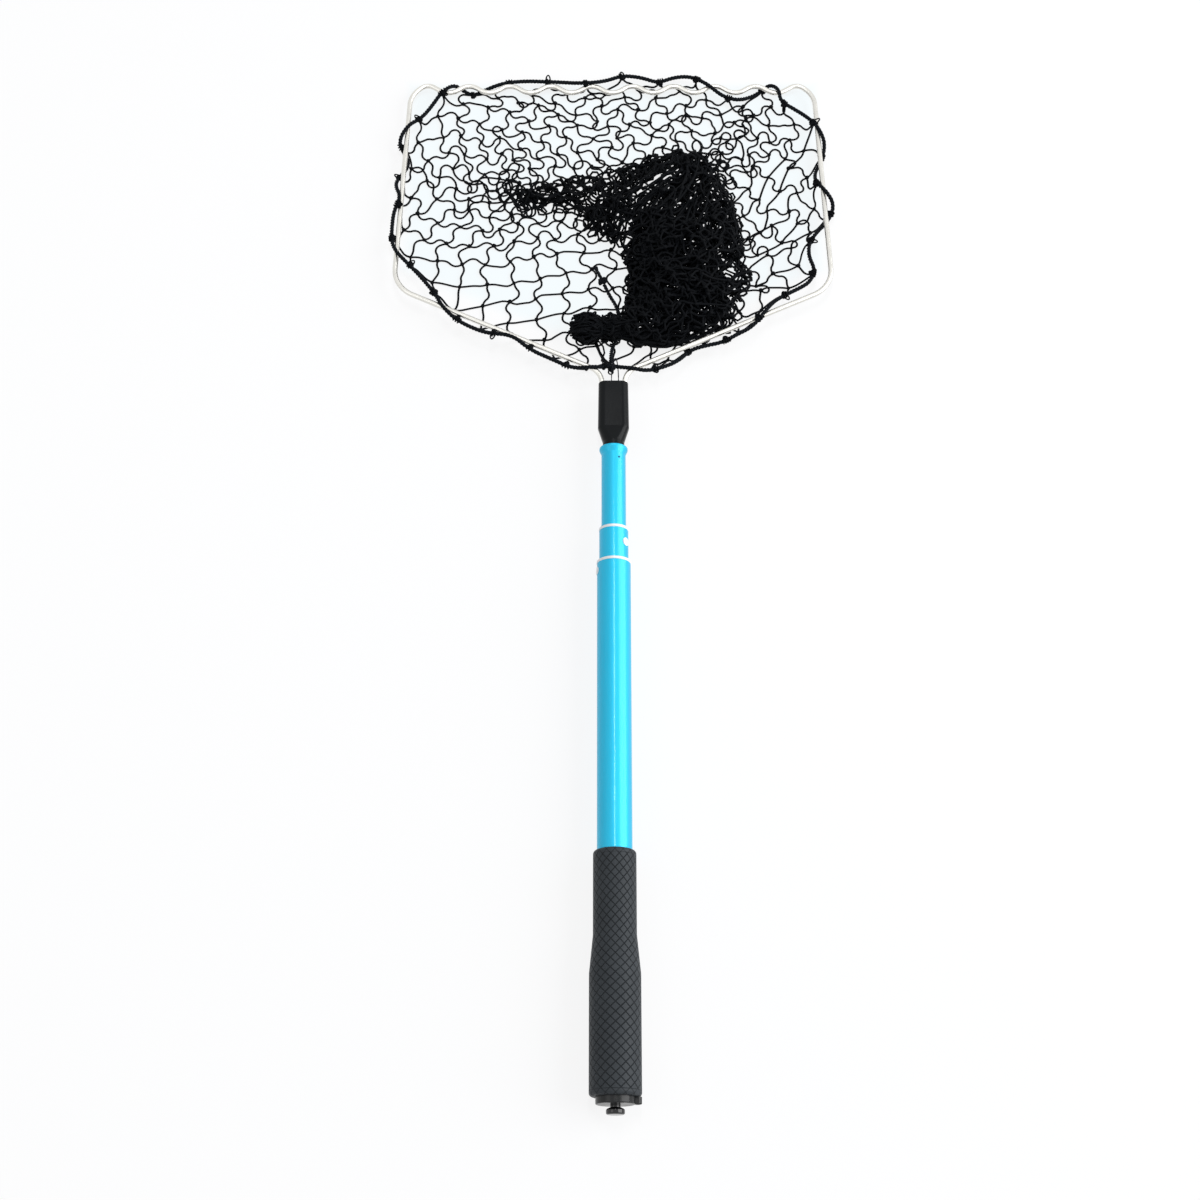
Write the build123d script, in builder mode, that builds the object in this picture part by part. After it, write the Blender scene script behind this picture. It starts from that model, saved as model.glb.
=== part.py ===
from build123d import *
import os
from math import cos, radians, sin, tan

# A landing net on a three-section telescopic pole, lying collapsed on the ground.
# +Z is up, +Y runs along the pole from the butt to the net, and X runs across it.
# The origin is on the ground, under the middle of the whole net.

os.makedirs("parts", exist_ok=True)

# ---------------------------------------------------------------- driving dimensions (mm)

# Pole tubes: each slides in the next larger one, and is as long as its lock leaves room for
neck_top_y = 125.9
main_od = 25.0
middle_od = 21.7
inner_od = 18.4
tube_wall = 0.9
main_length = 385.3
middle_show = 26.5
inner_show = 69.0
cap_room = 7.7
stud_room = 1.9
collar_od = 21.5
collar_length = 5.5
collar_round = 0.6

# Mouth bushings: a ring on the tube's mouth, a skirt inside it and a round boss
ring_thickness = 2.2
ring_proud = 0.3
ring_round = 0.5
skirt_length = 28.0
slide_clearance = 0.06
boss_d = 6.4
main_boss_angle = -80.0
main_boss_drop = 6.0
middle_boss_angle = 55.0
middle_boss_drop = 10.6

# Twist locks at the lower ends of the sliding tubes
plug_depth = 14.0
plug_flange = 2.0
flange_inset = 0.1
stud_d = 6.0
stud_head_d = 10.0
stud_head_length = 4.0
expander_length = 24.0
expander_hub = 6.0
expander_wall = 2.2
expander_slots = 4
expander_slot_width = 1.6
lock_gap = 0.3
cone_length = 9.0
cone_angle = 12.0
key_width = 1.2
key_length = 4.0
key_inset = 0.4
stop_length = 3.5
stop_d = 11.0
cone_travel = 2.0
turning_clearance = 0.05
lock_slide_clearance = 0.05

# Grip, end cap and hanging knob
grip_upper_d = 30.4
grip_lower_d = 35.8
grip_length = 168.0
grip_lower_length = 82.0
grip_taper_length = 27.0
grip_round = 3.0
grip_rim = 0.2
cap_flange_d = 27.0
cap_flange_length = 5.0
cap_plug_length = 15.0
cap_edge = 0.8
eye_hole_d = 3.0
eye_reach = 15.0
eye_wall = 2.8
knob_neck_d = 7.0
knob_neck_length = 2.4
knob_head_d = 12.8
knob_head_length = 4.2
knob_shank_d = 4.0
knob_shank_length = 11.0
knob_flare = 0.7
knob_round = 1.2

# Neck socket
neck_show = 55.5
neck_top_width = 22.8
neck_width = 23.8
neck_thickness = 13.2
neck_edge_round = 5.4
neck_waist_d = 16.4
neck_waist_length = 5.0
neck_shoulder_length = 12.0
neck_top_round = 1.0
spigot_length = 20.0
rivet_d = 1.6
rivet_angle = 27.0
rivet_drop = 10.6
tie_pocket_width = 10.0
tie_pocket_height = 4.0
tie_pocket_depth = 12.0

# Hoop of wire
wire_d = 4.0
leg_x = 8.8
leg_depth = 42.0
leg_bend_rise = 10.4
leg_bend_radius = 15.0
rear_half_width = 173.6
rear_rise = 88.0
rear_radius = 26.0
front_half_width = 167.5
front_rise = 281.6
wave_pitch = 34.0
wave_vertex = 5.8
wave_radius = 12.0
wave_half_count = 4
corner_vertex_x = 154.0
corner_vertex_drop = 5.8
corner_radius = 22.0
corner_crest_radius = 9.0

# Border rope, ties and netting
rope_d = 3.0
lace_gap = 1.4
twine_d = 1.4
mesh_bar = 20.5
tie_length = 3.0
tie_wall = 1.2
tie_spacing = 32.0
tie_clearance = 0.4
rim_inset = 0.13
net_centre = (0.0, 275.0)
throat_knot_d = 9.0
throat_knot_length = 8.0
throat_knot_x = -2.0
throat_y = 141.0
neck_tie_d = 1.0
tail_knot_length = 7.0
tail_stub_length = 8.0
bag_end_d = 22.0
bag_end_length = 27.0
bag_end_tie_d = 2.0
bag_waist_share = 0.42
bag_waist_depth = 3.5
bag_round = 3.0
whipping_depth = 1.6
bag_end_y = 178.0
bag_end_x = -3.0

# ---------------------------------------------------------------- derived places

axis_z = grip_lower_d / 2
pole_axis = Axis((0, 0, axis_z), (0, 1, 0))
collar_y = neck_top_y - neck_show
middle_mouth_y = collar_y - inner_show
main_mouth_y = middle_mouth_y - middle_show
butt_y = main_mouth_y - main_length
cone_reach = cone_length - key_length
lock_length = plug_flange + expander_length + cone_reach + cone_travel + stop_length + 2 * lock_gap
stud_top = plug_depth + stud_head_length
middle_end_y = butt_y + cap_plug_length + cap_room + lock_length
inner_end_y = middle_end_y + stud_top + stud_room + lock_length
leg_bend_y = neck_top_y + leg_bend_rise
rear_y = neck_top_y + rear_rise
front_y = neck_top_y + front_rise
rope_r = rope_d / 2
wire_r = wire_d / 2
lace_lift = wire_r + rope_r + lace_gap
front_z = lace_lift + rope_r + 0.1
droop = (axis_z - front_z) / (front_y - leg_bend_y)


def hoop_z(y):
    """Height of the hoop's wire at a distance along the pole: it comes down from the neck to the ground."""
    return axis_z - max(0.0, y - leg_bend_y) * droop


def on_axis(y):
    """A plane across the pole, with X across, Z up and its normal along the pole."""
    return Plane(origin=(0, y, axis_z), x_dir=(1, 0, 0), z_dir=(0, 1, 0))


def radial(y, angle):
    """A plane through the pole's axis whose normal leaves the pole at an angle from straight up."""
    lean = radians(angle)
    return Plane(origin=(0, y, axis_z), x_dir=(0, 1, 0), z_dir=(sin(lean), 0, cos(lean)))


def turned(*profile):
    """Revolve a closed half profile of (radius, station) points round the pole's axis."""
    with BuildSketch(Plane.XY.offset(axis_z)) as half:
        with BuildLine():
            Polyline(*profile, close=True)
        make_face()
    revolve(half.sketch, axis=pole_axis)


def ring_edges(part, radius):
    """The circular edges of one radius."""
    return part.edges().filter_by(GeomType.CIRCLE).filter_by(lambda e: abs(e.radius - radius) < 0.01)


# A cord's corners are as round as its runs allow
corner_share = 0.45


def corner_radii(points):
    """The radius of the arc at each corner of a route, from the runs beside it and its turn."""
    radii = []
    for before, here, after in zip(points, points[1:], points[2:]):
        run_in = Vector(*here) - Vector(*before)
        run_out = Vector(*after) - Vector(*here)
        half_turn = radians(run_in.get_angle(run_out)) / 2
        radii.append(corner_share * min(run_in.length, run_out.length) / tan(half_turn))
    return radii


def tube_along(points, diameter, name):
    """Sweep a round section along straight runs joined by tangent arcs."""
    radii = corner_radii(points)
    with BuildLine() as path:
        route = FilletPolyline(*points, radius=radii)
    with BuildSketch(Plane(origin=route @ 0, z_dir=route % 0)) as section:
        Circle(diameter / 2)
    sweep(section.sketch, path=path.wires()[0])
    print(name, "length", round(route.length, 1), "tightest bend", round(min(radii), 1))
    print(name, "radii", [round(r) for r in radii])


# ---------------------------------------------------------------- main tube, bushing, grip and cap

main_r = main_od / 2
main_ir = main_r - tube_wall
middle_r = middle_od / 2
middle_ir = middle_r - tube_wall
inner_r = inner_od / 2
inner_ir = inner_r - tube_wall

with BuildPart() as main_tube:
    turned((main_ir, butt_y), (main_r, butt_y), (main_r, main_mouth_y), (main_ir, main_mouth_y))
    with BuildSketch(radial(main_mouth_y - main_boss_drop, main_boss_angle)):
        Circle(boss_d / 2)
    extrude(amount=main_od, mode=Mode.SUBTRACT)


def bushing(tube_r, tube_ir, sliding_r, mouth_y, boss_drop, boss_angle):
    """A mouth ring with its skirt inside the tube and a boss that fills the tube's hole."""
    bore_r = sliding_r + slide_clearance
    turned(
        (bore_r, mouth_y - skirt_length),
        (tube_ir, mouth_y - skirt_length),
        (tube_ir, mouth_y),
        (tube_r + ring_proud, mouth_y),
        (tube_r + ring_proud, mouth_y + ring_thickness),
        (bore_r, mouth_y + ring_thickness),
    )
    with BuildSketch(radial(mouth_y - boss_drop, boss_angle)) as boss:
        Circle(boss_d / 2)
    extrude(boss.sketch, amount=tube_r + ring_proud)
    with BuildSketch(on_axis(mouth_y - skirt_length)) as bore:
        Circle(bore_r)
    extrude(bore.sketch, amount=skirt_length, mode=Mode.SUBTRACT)


with BuildPart() as main_bushing:
    bushing(main_r, main_ir, middle_r, main_mouth_y, main_boss_drop, main_boss_angle)
    fillet(ring_edges(main_bushing, main_r + ring_proud), ring_round)

grip_top_y = butt_y + grip_length
grip_taper_y = butt_y + grip_lower_length

with BuildPart() as grip:
    turned(
        (main_r, butt_y),
        (grip_lower_d / 2, butt_y),
        (grip_lower_d / 2, grip_taper_y),
        (grip_upper_d / 2, grip_taper_y + grip_taper_length),
        (grip_upper_d / 2, grip_top_y),
        (main_r, grip_top_y),
    )
    lower_rim = ring_edges(grip, grip_lower_d / 2).sort_by(Axis.Y)[0]
    upper_rim = ring_edges(grip, grip_upper_d / 2).sort_by(Axis.Y)[-1]
    fillet([lower_rim, upper_rim], min(grip_round, (grip_upper_d - main_od) / 2 - grip_rim))

cap_outer_y = butt_y - cap_flange_length

with BuildPart() as end_cap:
    turned((0, cap_outer_y), (cap_flange_d / 2, cap_outer_y), (cap_flange_d / 2, butt_y), (0, butt_y))
    with BuildSketch(on_axis(cap_outer_y)):
        with Locations((eye_reach / 2, 0)):
            Rectangle(eye_reach, 2 * eye_wall)
        with Locations((eye_reach, 0)):
            Circle(eye_wall)
    extrude(amount=cap_flange_length)
    fillet(end_cap.edges().group_by(Axis.Y)[0], cap_edge)
    with BuildSketch(on_axis(butt_y)):
        Circle(main_ir)
    extrude(amount=cap_plug_length)
    with Locations(on_axis(cap_outer_y)):
        with Locations((eye_reach, 0)):
            Hole(eye_hole_d / 2)
    with BuildSketch(on_axis(cap_outer_y)):
        Circle(knob_shank_d / 2)
    extrude(amount=knob_shank_length, mode=Mode.SUBTRACT)

knob_seat_y = cap_outer_y - knob_neck_length
knob_end_y = knob_seat_y - knob_head_length

with BuildPart() as hang_knob:
    turned(
        (0, cap_outer_y + knob_shank_length),
        (knob_shank_d / 2, cap_outer_y + knob_shank_length),
        (knob_shank_d / 2, cap_outer_y),
        (knob_neck_d / 2, cap_outer_y),
        (knob_neck_d / 2, knob_seat_y + knob_flare),
        (knob_head_d / 2, knob_seat_y - knob_flare),
        (knob_head_d / 2, knob_end_y),
        (0, knob_end_y),
    )
    fillet(ring_edges(hang_knob, knob_head_d / 2), knob_round)

# ---------------------------------------------------------------- middle and inner tubes

with BuildPart() as middle_tube:
    turned(
        (middle_ir, middle_end_y),
        (middle_r, middle_end_y),
        (middle_r, middle_mouth_y),
        (middle_ir, middle_mouth_y),
    )
    with BuildSketch(radial(middle_mouth_y - middle_boss_drop, middle_boss_angle)):
        Circle(boss_d / 2)
    extrude(amount=middle_od, mode=Mode.SUBTRACT)

with BuildPart() as middle_bushing:
    bushing(middle_r, middle_ir, inner_r, middle_mouth_y, middle_boss_drop, middle_boss_angle)
    fillet(ring_edges(middle_bushing, middle_r + ring_proud), ring_round)

collar_r = collar_od / 2
rivet_y = collar_y - rivet_drop

with BuildPart() as inner_tube:
    turned(
        (inner_ir, inner_end_y),
        (inner_r, inner_end_y),
        (inner_r, collar_y - collar_length),
        (collar_r, collar_y - collar_length / 3),
        (collar_r, collar_y),
        (inner_ir, collar_y),
    )
    fillet(ring_edges(inner_tube, collar_r), collar_round)
    with BuildSketch(radial(rivet_y, rivet_angle)):
        Circle(rivet_d / 2)
    extrude(amount=inner_od, mode=Mode.SUBTRACT)

# ---------------------------------------------------------------- twist locks


def lock_plug(tube_r, tube_ir, end_y):
    """A plug pressed in a tube's lower end, with a flange under it and a bore for the stud."""
    flange_r = tube_r - flange_inset
    turned(
        (0, end_y + plug_depth),
        (tube_ir, end_y + plug_depth),
        (tube_ir, end_y),
        (flange_r, end_y),
        (flange_r, end_y - plug_flange),
        (0, end_y - plug_flange),
    )
    with BuildSketch(on_axis(end_y - plug_flange)) as bore:
        Circle(stud_d / 2)
    extrude(bore.sketch, amount=plug_flange + plug_depth, mode=Mode.SUBTRACT)


def lock_stud(end_y):
    """The threaded stud: its head is above the plug and its tail carries the expander, cone and stop."""
    tail_y = stop_y(end_y) - stop_length
    turned(
        (0, end_y + stud_top),
        (stud_head_d / 2, end_y + stud_top),
        (stud_head_d / 2, end_y + plug_depth),
        (stud_d / 2, end_y + plug_depth),
        (stud_d / 2, tail_y),
        (0, tail_y),
    )


def hub_top(end_y):
    """Upper face of the expander's hub, just under the plug's flange."""
    return end_y - plug_flange - lock_gap


def cone_seat(end_y):
    """Lower end of the expander, where the cone enters its mouth."""
    return hub_top(end_y) - expander_length


def stop_y(end_y):
    """Upper face of the stop, below the cone's whole travel."""
    return cone_seat(end_y) - cone_reach - cone_travel - lock_gap


def lock_expander(sleeve_r, end_y):
    """A slotted sleeve that the cone spreads: the slots run up from its lower end to the hub."""
    top_y = hub_top(end_y)
    low_y = cone_seat(end_y)
    bore_r = stud_d / 2 + turning_clearance
    hollow_r = sleeve_r - expander_wall
    mouth_r = hollow_r + (key_length + lock_gap) * tan(radians(cone_angle))
    turned(
        (bore_r, top_y),
        (sleeve_r, top_y),
        (sleeve_r, low_y),
        (mouth_r, low_y),
        (hollow_r, low_y + key_length + lock_gap),
        (hollow_r, top_y - expander_hub),
        (bore_r, top_y - expander_hub),
    )
    with BuildSketch(on_axis(low_y)) as slots:
        with PolarLocations(sleeve_r / 2, expander_slots):
            Rectangle(sleeve_r + expander_wall, expander_slot_width)
        Circle(bore_r, mode=Mode.SUBTRACT)
    extrude(slots.sketch, amount=expander_length - expander_hub, mode=Mode.SUBTRACT)


def lock_cone(sleeve_r, end_y):
    """The nut that draws up into the sleeve: its keys run in the sleeve's slots."""
    low_y = cone_seat(end_y) - cone_reach
    hollow_r = sleeve_r - expander_wall
    taper = tan(radians(cone_angle))
    top_r = hollow_r - lock_gap
    seat_r = top_r + key_length * taper
    bore_r = stud_d / 2 + turning_clearance
    turned(
        (bore_r, low_y),
        (seat_r, low_y),
        (seat_r, low_y + cone_reach),
        (top_r, low_y + cone_length),
        (bore_r, low_y + cone_length),
    )
    key_r = sleeve_r - key_inset
    with BuildSketch(on_axis(low_y)) as keys:
        with PolarLocations(key_r / 2, expander_slots):
            Rectangle(key_r, key_width)
        Circle(bore_r, mode=Mode.SUBTRACT)
    extrude(keys.sketch, amount=cone_length)


def lock_stop(end_y):
    """The nut fixed on the stud's tail, which keeps the cone on the thread."""
    with BuildSketch(on_axis(stop_y(end_y) - stop_length)) as across:
        RegularPolygon(stop_d / 2, 6)
        Circle(stud_d / 2, mode=Mode.SUBTRACT)
    extrude(across.sketch, amount=stop_length)


middle_sleeve_r = main_ir - lock_slide_clearance
inner_sleeve_r = middle_ir - lock_slide_clearance

with BuildPart() as middle_plug:
    lock_plug(middle_r, middle_ir, middle_end_y)
with BuildPart() as middle_stud:
    lock_stud(middle_end_y)
with BuildPart() as middle_expander:
    lock_expander(middle_sleeve_r, middle_end_y)
with BuildPart() as middle_cone:
    lock_cone(middle_sleeve_r, middle_end_y)
with BuildPart() as middle_stop:
    lock_stop(middle_end_y)

with BuildPart() as inner_plug:
    lock_plug(inner_r, inner_ir, inner_end_y)
with BuildPart() as inner_stud:
    lock_stud(inner_end_y)
with BuildPart() as inner_expander:
    lock_expander(inner_sleeve_r, inner_end_y)
with BuildPart() as inner_cone:
    lock_cone(inner_sleeve_r, inner_end_y)
with BuildPart() as inner_stop:
    lock_stop(inner_end_y)

# ---------------------------------------------------------------- neck socket and its rivet

waist_y = collar_y + neck_waist_length
shoulder_y = waist_y + neck_shoulder_length
waist_round = neck_waist_d / 2 - 0.5

with BuildPart() as neck_socket:
    with BuildSketch(on_axis(collar_y)):
        RectangleRounded(neck_waist_d, neck_waist_d, waist_round)
    extrude(amount=neck_waist_length)
    with BuildSketch(on_axis(waist_y)):
        RectangleRounded(neck_waist_d, neck_waist_d, waist_round)
    with BuildSketch(on_axis(shoulder_y)):
        RectangleRounded(neck_width, neck_thickness, neck_edge_round)
    loft()
    with BuildSketch(on_axis(shoulder_y)):
        RectangleRounded(neck_width, neck_thickness, neck_edge_round)
    with BuildSketch(on_axis(neck_top_y)):
        RectangleRounded(neck_top_width, neck_thickness, neck_edge_round)
    loft()
    fillet(neck_socket.edges().group_by(Axis.Y)[-1], neck_top_round)
    with BuildSketch(on_axis(collar_y)):
        Circle(inner_ir)
    extrude(amount=-spigot_length)
    with BuildSketch(on_axis(neck_top_y)):
        with Locations((-leg_x, 0), (leg_x, 0)):
            Circle(wire_r)
    extrude(amount=-leg_depth, mode=Mode.SUBTRACT)
    with BuildSketch(on_axis(neck_top_y)):
        RectangleRounded(tie_pocket_width, tie_pocket_height, 1.0)
    extrude(amount=-tie_pocket_depth, mode=Mode.SUBTRACT)
    with BuildSketch(radial(rivet_y, rivet_angle)):
        Circle(rivet_d / 2)
    extrude(amount=inner_od, mode=Mode.SUBTRACT)

with BuildPart() as neck_rivet:
    with BuildSketch(radial(rivet_y, rivet_angle)):
        Circle(rivet_d / 2)
    extrude(amount=inner_r + 0.2)

# ---------------------------------------------------------------- hoop wire


def in_hoop(x, y):
    """A point on the hoop's wire, at its height above the ground."""
    return (x, y, hoop_z(y))


crest_y = front_y + wave_vertex
trough_y = front_y - wave_vertex
half_hoop = [
    (leg_x, neck_top_y - leg_depth),
    (leg_x, leg_bend_y),
    (rear_half_width, rear_y),
    (front_half_width, front_y - corner_vertex_drop),
    (corner_vertex_x, crest_y),
]
half_radii = [leg_bend_radius, rear_radius, corner_radius, corner_crest_radius]
wave = []
for step in range(2 * wave_half_count, -2 * wave_half_count - 1, -1):
    wave.append((step * wave_pitch / 2, trough_y if step % 2 == 0 else crest_y))
left_half = [(-x, y) for x, y in reversed(half_hoop)]
hoop_points = [in_hoop(x, y) for x, y in half_hoop + wave + left_half]
hoop_radii = half_radii + [wave_radius] * len(wave) + half_radii[::-1]

with BuildPart() as hoop_wire:
    with BuildLine():
        hoop_line = FilletPolyline(*hoop_points, radius=hoop_radii)
    with BuildSketch(Plane(origin=hoop_line @ 0, z_dir=hoop_line % 0)):
        Circle(wire_r)
    sweep()
print("hoop_wire length", round(hoop_line.length, 1))

# ---------------------------------------------------------------- border rope

# Each point is across, along and how far over (1) or under (-1) the wire the rope passes
rope_route = [
    (throat_knot_x - throat_knot_length / 2, throat_y, 0),
    (-16, 138.6, 1),
    (-31, 138.5, 0.3),
    (-48, 148, 0),
    (-65, 156.5, 0),
    (-79, 167.5, 1),
    (-98, 170.5, 0.2),
    (-113, 177.5, 0),
    (-125, 184.5, 0.3),
    (-135, 194.5, 1),
    (-140, 206, 0.3),
    (-150, 220.5, 0),
    (-162, 234, 0.3),
    (-173, 244.5, 1),
    (-177.2, 257, 0.2),
    (-177.4, 271, 0),
    (-176.5, 285, 0.2),
    (-171, 297, 1),
    (-176, 309, 0.2),
    (-175.5, 318, -0.4),
    (-170.5, 327, -1),
    (-166.5, 335.5, -0.9),
    (-170, 344, -1),
    (-175.8, 353.5, 0.2),
    (-168.5, 367.5, 1),
    (-158, 377, 0.3),
    (-150.5, 389, 0),
    (-140.5, 403, 1),
    (-131.5, 412.5, 0.1),
    (-124, 409.5, -1),
    (-116, 404.5, -1),
    (-107.5, 410, -1),
    (-91, 414.8, -0.1),
    (-73, 416.3, 0),
    (-58, 415.4, 0.1),
    (-45, 415.2, 0),
    (-30, 413, 0.3),
    (-16, 411, 1),
    (-4, 415.8, 0.3),
    (8, 422.1, 0),
    (24, 420.2, 0),
    (38, 414.6, -0.1),
    (51, 420.2, 0),
    (65, 420.5, 0.2),
    (78.5, 410, 1),
    (91, 400, 0.2),
    (104, 397.5, -0.3),
    (116, 403.5, -1),
    (124.5, 409.5, -1),
    (131, 413.5, -0.2),
    (138, 404.5, 1),
    (139, 394.5, 0.3),
    (149, 388.5, 0),
    (160.5, 378, 0.4),
    (169, 365.5, 1),
    (174.8, 352, 0),
    (170.5, 337, -1),
    (164.5, 325, -0.5),
    (164.5, 313, 0.3),
    (171, 304, 1),
    (177.8, 295, 0.2),
    (177.4, 286, -0.4),
    (171.5, 277, -1),
    (163.5, 267, -0.4),
    (156.5, 255, 0),
    (156, 242, 0),
    (160.5, 230.5, 0),
    (156, 218.5, 0),
    (145, 211.5, 0),
    (132.5, 205, 0),
    (124.5, 197.5, 0.4),
    (118.5, 188, 1),
    (109, 176.5, 0.3),
    (97, 170.5, 0),
    (85, 163, 0),
    (73, 162.5, -0.8),
    (61, 159.5, -1),
    (50, 146.5, -0.2),
    (38, 140.5, 0),
    (26, 136.5, 0.3),
    (14, 137.5, 1),
    (throat_knot_x + throat_knot_length / 2, throat_y, 0),
]


def laced(x, y, lift):
    """A point of the route, lifted from its wire's height."""
    return (x, y, hoop_z(y) + lift * lace_lift)


rope_points = [laced(*point) for point in rope_route]

with BuildPart() as border_rope:
    tube_along(rope_points, rope_d, "border_rope")

throat_z = hoop_z(throat_y)

with BuildPart() as throat_knot:
    with BuildSketch(Plane(origin=(throat_knot_x, throat_y, throat_z), x_dir=(0, 1, 0), z_dir=(1, 0, 0))):
        Circle(throat_knot_d / 2)
    extrude(amount=throat_knot_length / 2, both=True)
    fillet(throat_knot.edges().filter_by(GeomType.CIRCLE), 2.0)

# ---------------------------------------------------------------- ties and netting

tie_r = rope_r + tie_wall


def inward(point):
    """The place on the ground near a tie, moved towards the middle of the net."""
    across = net_centre[0] - point.X
    along = net_centre[1] - point.Y
    return Vector(point.X + across * rim_inset, point.Y + along * rim_inset, twine_d / 2)


def below(point):
    """Underside of a tie, where the netting's first bar leaves it."""
    return Vector(point.X, point.Y, point.Z - tie_r)


def clear_of_wire(point):
    """A tie goes only where it and its bar of netting stand clear of the wire and the ground."""
    bar = Edge.make_line(below(point), inward(point))
    tie_room = hoop_line.distance_to(point) - wire_r - tie_r
    bar_room = hoop_line.distance_to(bar) - wire_r - twine_d / 2
    return min(tie_room, bar_room, below(point).Z) > tie_clearance


tie_places = []
for start, end in list(zip(rope_points, rope_points[1:]))[1:-1]:
    middle = (Vector(*start) + Vector(*end)) / 2
    far_enough = not tie_places or (middle - tie_places[-1][0]).length > tie_spacing
    if far_enough and clear_of_wire(middle):
        tie_places.append((middle, Vector(*end) - Vector(*start)))

with BuildPart() as net_ties:
    for middle, along_rope in tie_places:
        with BuildSketch(Plane(origin=middle, z_dir=along_rope)):
            RegularPolygon(tie_r, 6)
            Circle(rope_r, mode=Mode.SUBTRACT)
        extrude(amount=tie_length / 2, both=True)

feet = [inward(middle) for middle, along_rope in tie_places]
outline = [(foot.X, foot.Y) for foot in feet]
net_span = 2 * max(abs(x) for x, y in outline)
net_reach = 2 * max(abs(y - net_centre[1]) for x, y in outline)
columns = int(net_span / mesh_bar) + 2
rows = int(net_reach / mesh_bar) + 2

with BuildPart() as net_spread:
    with BuildSketch():
        with BuildLine():
            Polyline(*outline, close=True)
        make_face()
        with Locations(net_centre):
            with GridLocations(mesh_bar, mesh_bar, columns, rows):
                Rectangle(mesh_bar - twine_d, mesh_bar - twine_d, mode=Mode.SUBTRACT)
        with BuildLine() as selvedge:
            Polyline(*outline, close=True)
        rim = make_face(selvedge.edges(), mode=Mode.PRIVATE)
        add(rim - offset(rim, amount=-twine_d, kind=Kind.INTERSECTION, mode=Mode.PRIVATE))
    extrude(amount=twine_d)

with BuildPart() as net_rim:
    for (middle, along_rope), foot in zip(tie_places, feet):
        top = below(middle)
        with BuildSketch(Plane(origin=foot, z_dir=top - foot)):
            Circle(twine_d / 2)
        extrude(amount=(top - foot).length)

# The crumpled depth of the bag: half ellipses that fan round a comma from its thin tail to its neck, each
# given by its inner foot (across, along), its outer foot (across, along) and its height
heap_sections = [
    (-81, 303.5, -80, 309, 4),
    (-60, 299.5, -58, 313, 7),
    (-38, 291.5, -33, 317, 11),
    (-20, 277, -4, 323, 17),
    (-5, 262, 34, 338, 24),
    (6, 250, 72, 341, 29),
    (14, 241, 89, 316, 32),
    (18, 233, 101, 276, 33),
    (19, 225, 107, 238, 33),
    (18, 216, 101, 205, 31),
    (15, 206, 82, 189, 28),
    (12, 197, 54, 176, 25),
    (10, 189, 26, 164, 21),
]

with BuildPart() as net_heap:
    for inner_x, inner_y, outer_x, outer_y, height in heap_sections:
        inner_foot = Vector(inner_x, inner_y, twine_d)
        outer_foot = Vector(outer_x, outer_y, twine_d)
        across_heap = outer_foot - inner_foot
        half_width = across_heap.length / 2
        upright = Plane(
            origin=(inner_foot + outer_foot) / 2, x_dir=across_heap, z_dir=across_heap.cross(Vector(0, 0, 1))
        )
        with BuildSketch(upright):
            with BuildLine():
                EllipticalCenterArc((0, 0), half_width, height, start_angle=0, arc_size=180)
                Line((half_width, 0), (-half_width, 0))
            make_face()
    loft()

# The bag's closed end: a gathered bundle lying left of the throat, whipped round its waist
bag_end_z = twine_d + bag_end_d / 2
bag_waist_r = bag_end_d / 2 - bag_waist_depth
bag_waist_x = bag_end_x - bag_waist_share * bag_end_length

with BuildPart() as bag_end:
    with BuildSketch(Plane(origin=(0, bag_end_y, bag_end_z), x_dir=(1, 0, 0), z_dir=(0, 0, 1))):
        with BuildLine():
            Polyline(
                (bag_end_x, 0),
                (bag_end_x, bag_end_d / 2 - bag_round / 2),
                (bag_end_x - bag_round, bag_end_d / 2),
                (bag_waist_x + bag_end_tie_d / 2, bag_waist_r),
                (bag_waist_x - bag_end_tie_d / 2, bag_waist_r),
                (bag_end_x - bag_end_length + bag_round, bag_end_d / 2),
                (bag_end_x - bag_end_length, bag_end_d / 2 - bag_round),
                (bag_end_x - bag_end_length, 0),
                close=True,
            )
        make_face()
    revolve(axis=Axis((0, bag_end_y, bag_end_z), (1, 0, 0)))

with BuildPart() as bag_end_tie:
    with BuildSketch(Plane(origin=(bag_waist_x, bag_end_y, bag_end_z), x_dir=(1, 0, 0), z_dir=(0, 0, 1))):
        with Locations((0, bag_waist_r + whipping_depth / 2)):
            Rectangle(bag_end_tie_d, whipping_depth)
    revolve(axis=Axis((0, bag_end_y, bag_end_z), (1, 0, 0)))

# ---------------------------------------------------------------- loose cords

cord_gap = 0.3
tail_knot_r = rope_r + 1.6
on_net_z = twine_d + rope_r + cord_gap
knot_z = twine_d + tail_knot_r + cord_gap
tail_points = [
    (throat_knot_x, throat_y + throat_knot_d / 2, throat_z),
    (-2, 154, 15.5),
    (0, 164, 9),
    (3, 176, on_net_z),
    (5, 190, on_net_z),
    (3, 203, on_net_z),
    (-3, 213, on_net_z),
    (-7, 222, knot_z),
]

with BuildPart() as rope_tail:
    tube_along(tail_points, rope_d, "rope_tail")

tail_end = Vector(*tail_points[-1])
tail_run = Vector(-4, 9, 0).normalized()

with BuildPart() as tail_knot:
    with BuildSketch(Plane(origin=tail_end, z_dir=tail_run)):
        Circle(tail_knot_r)
    extrude(amount=tail_knot_length)
    fillet(tail_knot.edges().filter_by(GeomType.CIRCLE), 1.4)
    with BuildSketch(Plane(origin=tail_end + tail_run * tail_knot_length, z_dir=tail_run)):
        Circle(rope_r)
    extrude(amount=tail_stub_length)

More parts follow.
